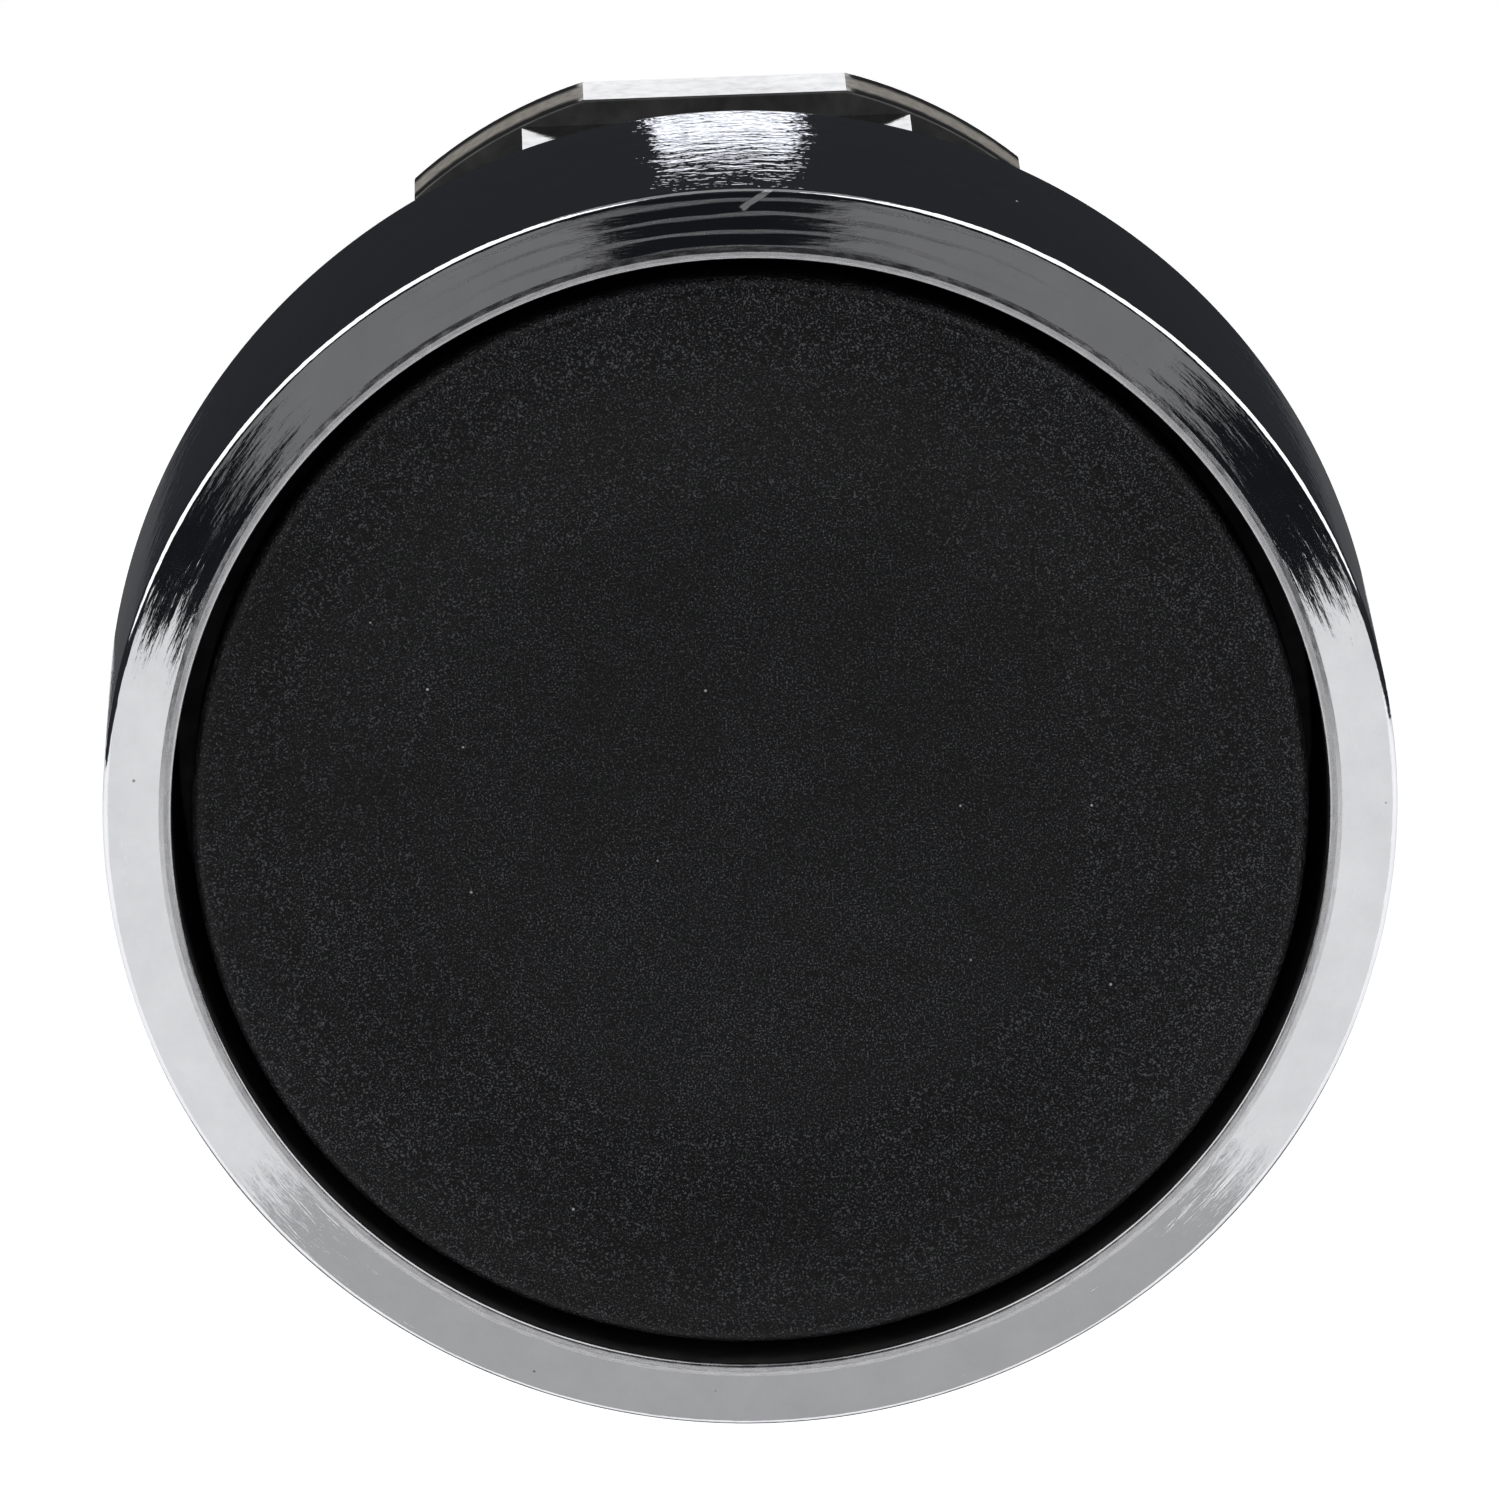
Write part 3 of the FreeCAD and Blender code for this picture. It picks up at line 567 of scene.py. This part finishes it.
def casting():
    """Bezel, barrel and bayonet lugs, with the small radii of the plated edges."""
    groove_front, groove_rear = CIRCLIP_GROOVE_Y
    piece = new_piece("bezel_casting", lathe(rounded([
        (CUP_RADIUS, CREST_Y, 0.08),
        (CREST_RADIUS, CREST_Y, 0.05),
        (LAND_INNER_RADIUS, LAND_INNER_Y, 0.05),
        (BEZEL_RADIUS, FRONT_EDGE_Y, 0.15),
        (BEZEL_RADIUS, BEZEL_BACK_Y, 0.25),
        (GASKET_GROOVE_RADIUS, BEZEL_BACK_Y, 0.05),
        (GASKET_GROOVE_RADIUS, GASKET_GROOVE_Y, 0.05),
        (BARREL_ROOT_RADIUS, GASKET_GROOVE_Y, 0.05),
        (BARREL_ROOT_RADIUS, 0.0, 0.05),
        (BARREL_RADIUS, 0.0, 0.05),
        (BARREL_RADIUS, BARREL_END_Y, 0.15),
        (NECK_RADIUS, BARREL_END_Y, 0.2),
        (NECK_RADIUS, NECK_REAR_Y, 0.15),
        (BORE_RADIUS, NECK_REAR_Y, 0.15),
        (BORE_RADIUS, groove_rear, 0.05),
        (CIRCLIP_GROOVE_RADIUS, groove_rear, 0.05),
        (CIRCLIP_GROOVE_RADIUS, groove_front, 0.05),
        (BORE_RADIUS, groove_front, 0.05),
        (BORE_RADIUS, SHOULDER_REAR_Y, 0.05),
        (SHOULDER_RADIUS, SHOULDER_REAR_Y, 0.05),
        (SHOULDER_RADIUS, COUNTERBORE_FLOOR_Y, 0.05),
        (COUNTERBORE_RADIUS, COUNTERBORE_FLOOR_Y, 0.05),
        (COUNTERBORE_RADIUS, CUP_FLOOR_Y, 0.1),
        (CUP_RADIUS, CUP_FLOOR_Y, 0.1),
    ])))
    join_solids(piece, [lug(side) for side in (1, -1)] + [web(side) for side in (1, -1)])
    shade_smooth(piece)
    keep_flats_flat(piece)
    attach(piece, "housing")
    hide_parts("bezel_housing")

    land, band, crest, barrel, painted_shade, rubbed = range(6)

    def choose(radius, y, normal):
        # Front-facing faces behind the bezel and the cup's inner wall take the painted shade.
        if y > BARREL_END_Y + 0.5 and normal.y < -0.7:
            return painted_shade
        if y > LUG_FRONT_Y and radius > LUG_RUB_RADIUS and abs(normal.z) < 0.97:
            return rubbed
        if y > GASKET_GROOVE_Y + 0.01:
            return barrel
        if radius < CUP_RADIUS + 0.01 and y > CREST_Y + 0.09:
            return painted_shade
        if radius < LAND_INNER_RADIUS:
            return crest
        return land if normal.y < -0.7 else band

    finishes = [turned_land(), rippled_band(), rubbed_crest()]
    finishes += [cast_barrel(), painted_shade_plate(), rubbed_lug()]
    assign_by_place(piece, finishes, choose)


def root_arc(half_width):
    """The inner edge of a lug or web, an arc inside the barrel's wall, from +x to -x."""
    reach = math.asin(half_width / LUG_ROOT_RADIUS)
    steps = [reach * (1 - 2 * step / 15) for step in range(16)]
    return [(LUG_ROOT_RADIUS * math.sin(a), LUG_ROOT_RADIUS * math.cos(a)) for a in steps]


def lug(side):
    """One bayonet lug: a turned outer edge with a flat on top and square ends."""
    top = LUG_HALF_HEIGHT
    flat = math.asin(math.sqrt(BARREL_RADIUS**2 - top**2) / BARREL_RADIUS)
    end = math.asin(LUG_HALF_WIDTH / BARREL_RADIUS)
    rim = [flat + (end - flat) * step / 12 for step in range(13)]
    right = [(BARREL_RADIUS * math.sin(a), BARREL_RADIUS * math.cos(a)) for a in rim]
    left = [(-x, z) for x, z in reversed(right)]
    outline = [(x, side * z) for x, z in left + right + root_arc(LUG_HALF_WIDTH)]
    piece = new_piece("lug_blank", extrude(outline, LUG_FRONT_Y, LUG_REAR_Y))
    bevel(piece, 0.06)
    return piece


def web(side):
    """The raised web between the barrel's step and a lug."""
    outline = [(-WEB_HALF_WIDTH, WEB_HALF_HEIGHT), (WEB_HALF_WIDTH, WEB_HALF_HEIGHT)]
    outline = [(x, side * z) for x, z in outline + root_arc(WEB_HALF_WIDTH)]
    overlap = 0.4
    span = (BARREL_END_Y - overlap, LUG_FRONT_Y + overlap)
    piece = new_piece("web_blank", extrude(outline, *span))
    bevel(piece, 0.06)
    return piece


def cap():
    """Black cap: a shallow dish, a rounded rim, a short skirt and four snap hooks."""
    flat_radius, rim_radius, last_radius, rim_fall, steps = 7.0, 11.0, 12.0, 0.04, 48
    dish = []
    for step in range(steps + 1):
        radius = last_radius * step / steps
        rise = min(max((radius - flat_radius) / (rim_radius - flat_radius), 0.0), 1.0)
        fall = max((radius - rim_radius) / (last_radius - rim_radius), 0.0)
        depth = CAP_DISH_DEPTH * (1 - rise * rise * (3 - 2 * rise)) + rim_fall * fall * fall
        dish.append((radius, CAP_RIM_Y + depth, 0))
    builder = lathe(rounded(dish + [
        (CAP_RADIUS, CAP_RIM_Y + rim_fall, 0.35),
        (CAP_RADIUS, CAP_SKIRT_Y, 0.08),
        (CAP_SKIRT_INNER_RADIUS, CAP_SKIRT_Y, 0.08),
        (CAP_SKIRT_INNER_RADIUS, CAP_UNDERSIDE_Y, 0.1),
        (0.0, CAP_UNDERSIDE_Y, 0),
    ]))
    piece = new_piece("dished_cap", builder)
    join_solids(piece, [hook(quarter) for quarter in range(4)])
    shade_smooth(piece)
    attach(piece, "button")
    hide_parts("button_cap")
    piece.data.materials.clear()
    piece.data.materials.append(cap_plastic())


def hook(quarter):
    """One snap hook behind the cap: a straight leg, with no barb modelled."""
    side, inner, outer = HOOK_HALF_WIDTH, HOOK_INNER_RADIUS, HOOK_OUTER_RADIUS
    leg = [(-side, inner), (side, inner), (side, outer), (-side, outer)]
    piece = new_piece("hook_blank", extrude(leg, CAP_UNDERSIDE_Y - 0.2, HOOK_REAR_Y))
    turn = Matrix.Rotation(math.radians(90 * quarter), 4, "Y")
    piece.data.transform(turn)
    bevel(piece, 0.05)
    return piece


def cap_plastic():
    """Black cap: dense spark-eroded grain with worn lighter peaks, painted light on the upper-right
    edge, and a few specks of dust.
    """
    shader = Shader("cap_plastic", Specular_IOR_Level=0.13)
    cloud = shader.ramp(shader.noise(0.45, detail=7.0, roughness=0.75), 0.35, 0.7, 0.55, 1.35)
    edge = shader.ramp(shader.radius, 9.5, CAP_RADIUS, 0.0, 1.0)
    # Painted light: the grain peaks are lightened towards the upper-right edge, where the light
    # falls.
    share_x = shader.math("MULTIPLY", shader.x, 0.6)
    share_z = shader.math("MULTIPLY", shader.z, 0.8)
    upper_right = shader.math("ADD", share_x, share_z)
    painted_light_edge = shader.math("MULTIPLY", edge, shader.ramp(upper_right, -4.0, 9.0, 0.0, 0.9))
    from_low_zone = shader.math("ABSOLUTE", shader.math("ADD", shader.z, 5.5))
    low = shader.ramp(from_low_zone, 1.0, 6.0, 0.7, 0.0)
    amount = shader.math("ADD", shader.math("ADD", 1.6, painted_light_edge), low)
    # The peaks' lightening mixes cloudy wear with that painted light.
    wear = shader.math("MULTIPLY", cloud, amount)
    peaks = shader.ramp(shader.noise(23.85, detail=2.0, roughness=0.6), 0.55, 0.75, 0.0, 1.0)
    worn_and_lit_peaks = shader.math("MULTIPLY", peaks, wear)
    tone = shader.blend(worn_and_lit_peaks, (0.0008, 0.0008, 0.001), (0.052, 0.053, 0.060))
    dust = shader.ramp(shader.cells(0.62), 0.014, 0.024, 1.0, 0.0)
    tone = shader.blend(dust, tone, (0.25, 0.25, 0.25))
    rough = shader.ramp(shader.noise(1.0, detail=5.0), 0.3, 0.7, 0.34, 0.44)
    grain = shader.noise(17.0, detail=3.0, roughness=0.6)
    coarse = shader.bump(shader.noise(4.5, detail=2.0), 0.004)
    relief = shader.bump(grain, 0.018, under=coarse)
    return shader.use(Base_Color=tone, Roughness=rough, Normal=relief)


def coil_spring(finishes):
    """Return spring: closed end turns and open turns between."""
    closed_rise, active_turns = 0.62, 3
    front = SPRING_FRONT_Y + WIRE_RADIUS
    rear = SPRING_REAR_Y - WIRE_RADIUS
    pitch = (rear - front - 2 * closed_rise) / active_turns
    rises = [closed_rise] + [pitch] * active_turns + [closed_rise]
    steps_per_turn, ring_steps = 48, 14
    builder = bmesh.new()
    rings = []
    station = front
    for turn_index, rise in enumerate(rises):
        last = turn_index == len(rises) - 1
        for step in range(steps_per_turn + (1 if last else 0)):
            share = step / steps_per_turn
            angle = 2 * math.pi * share
            out = Vector((math.cos(angle), 0, math.sin(angle)))
            centre = out * SPRING_RADIUS + Vector((0, station + rise * share, 0))
            ring = []
            for corner in range(ring_steps):
                phase = 2 * math.pi * corner / ring_steps
                offset = out * math.cos(phase) + Vector((0, 1, 0)) * math.sin(phase)
                ring.append(builder.verts.new((centre + offset * WIRE_RADIUS) * MM))
            rings.append(ring)
        station += rise
    for ring, following in zip(rings, rings[1:]):
        for corner in range(ring_steps):
            beside = (corner + 1) % ring_steps
            builder.faces.new([ring[corner], ring[beside], following[beside], following[corner]])
    builder.faces.new(rings[0])
    builder.faces.new(rings[-1])
    piece = new_piece("coil_spring", builder)
    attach(piece, "housing")
    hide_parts("return_spring")
    piece.data.materials.append(finishes["retaining_ring"])
    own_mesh(piece)


def rolled_diaphragm(finishes):
    """Rubber seal: two beads and a cone between them."""
    low, high = (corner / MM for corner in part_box("diaphragm"))
    outer_front = high.y - OUTER_BEAD_DEPTH
    inner_rear = low.y + INNER_BEAD_DEPTH
    bead_inner, bead_outer = INNER_BEAD_RADIUS
    front_inner, front_outer = SEAL_FRONT_RADIUS
    rear_inner, rear_outer = SEAL_REAR_RADIUS
    outline = rounded([
        (OUTER_BEAD_INNER_RADIUS, outer_front, SEAL_ROUND),
        (high.x, outer_front, SEAL_ROUND),
        (high.x, high.y, SEAL_ROUND),
        (rear_inner, high.y, SEAL_ROUND),
        (front_inner, inner_rear, SEAL_ROUND),
        (bead_inner, inner_rear, SEAL_ROUND),
        (bead_inner, low.y, SEAL_ROUND),
        (bead_outer, low.y, SEAL_ROUND),
        (front_outer, inner_rear, SEAL_ROUND),
        (rear_outer, high.y - SEAL_WALL, SEAL_ROUND),
        (OUTER_BEAD_INNER_RADIUS, high.y - SEAL_WALL, SEAL_ROUND / 2),
    ])
    piece = new_piece("rolled_diaphragm", lathe(outline, 180))
    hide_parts("diaphragm")
    piece.data.materials.append(finishes["panel_gasket"])
    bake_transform(piece)


# ---------------------------------------------------------------- studio


def direction(azimuth, elevation):
    """A unit vector: azimuth from the operator's side towards +X, and elevation, in degrees."""
    a, e = math.radians(azimuth), math.radians(elevation)
    return Vector((math.sin(a) * math.cos(e), -math.cos(a) * math.cos(e), math.sin(e)))


def face_object(item, azimuth, elevation, distance, lean=0.0):
    """Places an item that looks along its own -Z so that it faces the object."""
    item.location = direction(azimuth, elevation) * distance
    item.rotation_mode = "QUATERNION"
    turn = (-item.location).to_track_quat("-Z", "Y")
    item.rotation_quaternion = turn @ Quaternion((0, 0, 1), math.radians(lean))


def softbox(name, azimuth, elevation, distance, width, height, radiance):
    """A soft rectangular light that faces the object, its width and height given in degrees."""
    light = bpy.data.lights.new(name, "AREA")
    light.shape = "RECTANGLE"
    light.size = 2 * distance * math.tan(math.radians(width / 2))
    light.size_y = 2 * distance * math.tan(math.radians(height / 2))
    light.energy = math.pi * radiance * light.size * light.size_y
    lamp = bpy.data.objects.new(name, light)
    bpy.context.scene.collection.objects.link(lamp)
    face_object(lamp, azimuth, elevation, distance)
    lamp.visible_camera = False


def glow(name, radiance, tint=(1.0, 1.0, 1.0)):
    """The material of a card that glows evenly."""
    colour = tuple(share * radiance for share in tint)
    shader = Shader(name, Base_Color=(0, 0, 0, 1), Specular_IOR_Level=0.0,
                    Emission_Color=(*colour, 1), Emission_Strength=1.0)
    return shader.material


def graded_glow(name, left, right, start=0.0, end=1.0):
    """The material of a card that glows from one radiance at its left to another at its right."""
    shader = Shader(name, Base_Color=(0, 0, 0, 1), Specular_IOR_Level=0.0, Emission_Strength=1.0)
    place = shader.tree.nodes.new("ShaderNodeTexCoord")
    across = shader.split(place.outputs["Generated"])["X"]
    return shader.use(Emission_Color=shader.ramp(across, start, end, (left,) * 3, (right,) * 3))


def card(name, azimuth, elevation, distance, width, height, material, lean=0.0):
    """A rectangular card that only shows in reflections, its width and height given in degrees."""
    half_width = distance * math.tan(math.radians(width / 2))
    half_height = distance * math.tan(math.radians(height / 2))
    builder = bmesh.new()
    corners = [(-1, -1), (1, -1), (1, 1), (-1, 1)]
    builder.faces.new([builder.verts.new((x * half_width, z * half_height, 0)) for x, z in corners])
    mesh = bpy.data.meshes.new(name)
    builder.to_mesh(mesh)
    builder.free()
    mesh.materials.append(material)
    piece = bpy.data.objects.new(name, mesh)
    bpy.context.scene.collection.objects.link(piece)
    face_object(piece, azimuth, elevation, distance, lean)
    piece.visible_camera = piece.visible_diffuse = piece.visible_shadow = False


def studio():
    """Pale glowing floor under soft lights, cards that shape the reflections, and a pale dome."""
    softbox("overhead", 0, 78, 0.9, 60, 40, 0.38)
    softbox("left_light", -66, 36, 1.0, 60, 66, 2.1)
    softbox("right_light", 66, 36, 1.0, 60, 66, 2.1)
    card("rear_strip", 179.3, 15.0, 0.8, 7.2, 8.6, glow("strip_glow", 1.8))
    card("rear_flag", 180, -13, 0.7, 50, 6.4, glow("rear_flag_glow", 0.09))
    card("front_flag", 0, 12, 0.95, 70, 45.2, glow("front_flag_glow", 0.013, tint=(0.95, 1.0, 1.2)))
    card("under_flag", 180, -66, 0.17, 90, 50, glow("under_flag_glow", 0.25))
    grey = graded_glow("grey_glow", 0.255, 0.265)
    card("left_grey", -11.6, 2.6, 0.8, 15.2, 16, grey, 20)
    card("right_grey", 11.6, 2.6, 0.8, 15.2, 16, grey, -20)
    side = glow("side_glow", 1.2)
    card("left_low_card", -23, -21.7, 0.26, 18, 26.4, side)
    card("right_low_card", 23, -21.7, 0.26, 18, 26.4, side)
    card("crest_card", 0, -17.5, 0.5, 9, 8, graded_glow("crest_glow", 0.38, 0.75, 0.45, 0.85))
    card("low_card", 0, -44, 0.2, 38, 24, glow("low_glow", 0.62))

    builder = bmesh.new()
    bmesh.ops.create_circle(builder, cap_ends=True, segments=128, radius=1.07)
    floor_mesh = bpy.data.meshes.new("floor")
    builder.to_mesh(floor_mesh)
    builder.free()
    floor = bpy.data.objects.new("floor", floor_mesh)
    floor.location.z = -0.2
    shader = Shader("pale_floor", Roughness=0.7, Emission_Strength=0.75)
    tone = shader.ramp(shader.noise(0.002), 0.3, 0.7, (0.90, 0.90, 0.90), (0.93, 0.93, 0.93))
    floor_mesh.materials.append(shader.use(Base_Color=tone, Emission_Color=tone))

    builder = bmesh.new()
    bmesh.ops.create_uvsphere(builder, u_segments=48, v_segments=24, radius=1.8)
    dome_mesh = bpy.data.meshes.new("dome")
    builder.to_mesh(dome_mesh)
    builder.free()
    dome = bpy.data.objects.new("dome", dome_mesh)
    dome_mesh.materials.append(glow("pale_backdrop", 1.05))
    dome.visible_diffuse = dome.visible_glossy = dome.visible_shadow = False
    for stage in (floor, dome):
        bpy.context.scene.collection.objects.link(stage)

    world = bpy.data.worlds.new("dim_room")
    world.use_nodes = True
    world.node_tree.nodes["Background"].inputs["Color"].default_value = (0.030, 0.031, 0.033, 1)
    bpy.context.scene.world = world
    bpy.context.scene.view_settings.view_transform = "Standard"


def camera():
    """A long lens in front of and above the button, slightly to its left and barely tilted."""
    above, left, roll = math.radians(17.21), math.radians(1.27), math.radians(1.8)
    distance = 330.2
    off_axis = Vector((-0.017, 1.450, distance))
    turn = Matrix.Rotation(above, 3, "X") @ Matrix.Rotation(left, 3, "Y")
    turn = turn @ Matrix.Rotation(roll, 3, "Z")
    upright = Matrix(((1, 0, 0), (0, 0, -1), (0, 1, 0)))
    facing = upright @ turn.transposed()
    data = bpy.data.cameras.new("camera")
    data.lens = 354.2
    data.clip_start, data.clip_end = 0.01, 10
    viewer = bpy.data.objects.new("camera", data)
    place = facing @ off_axis + Vector((0, FRONT_EDGE_Y, 0))
    viewer.matrix_world = Matrix.Translation(place * MM) @ facing.to_4x4()
    bpy.context.scene.collection.objects.link(viewer)
    bpy.context.scene.camera = viewer


camera()
studio()
casting()
cap()
finishes = node_finishes()
coil_spring(finishes)
rolled_diaphragm(finishes)
for node, finish in finishes.items():
    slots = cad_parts[node].data.materials
    slots.clear()
    slots.append(finish)
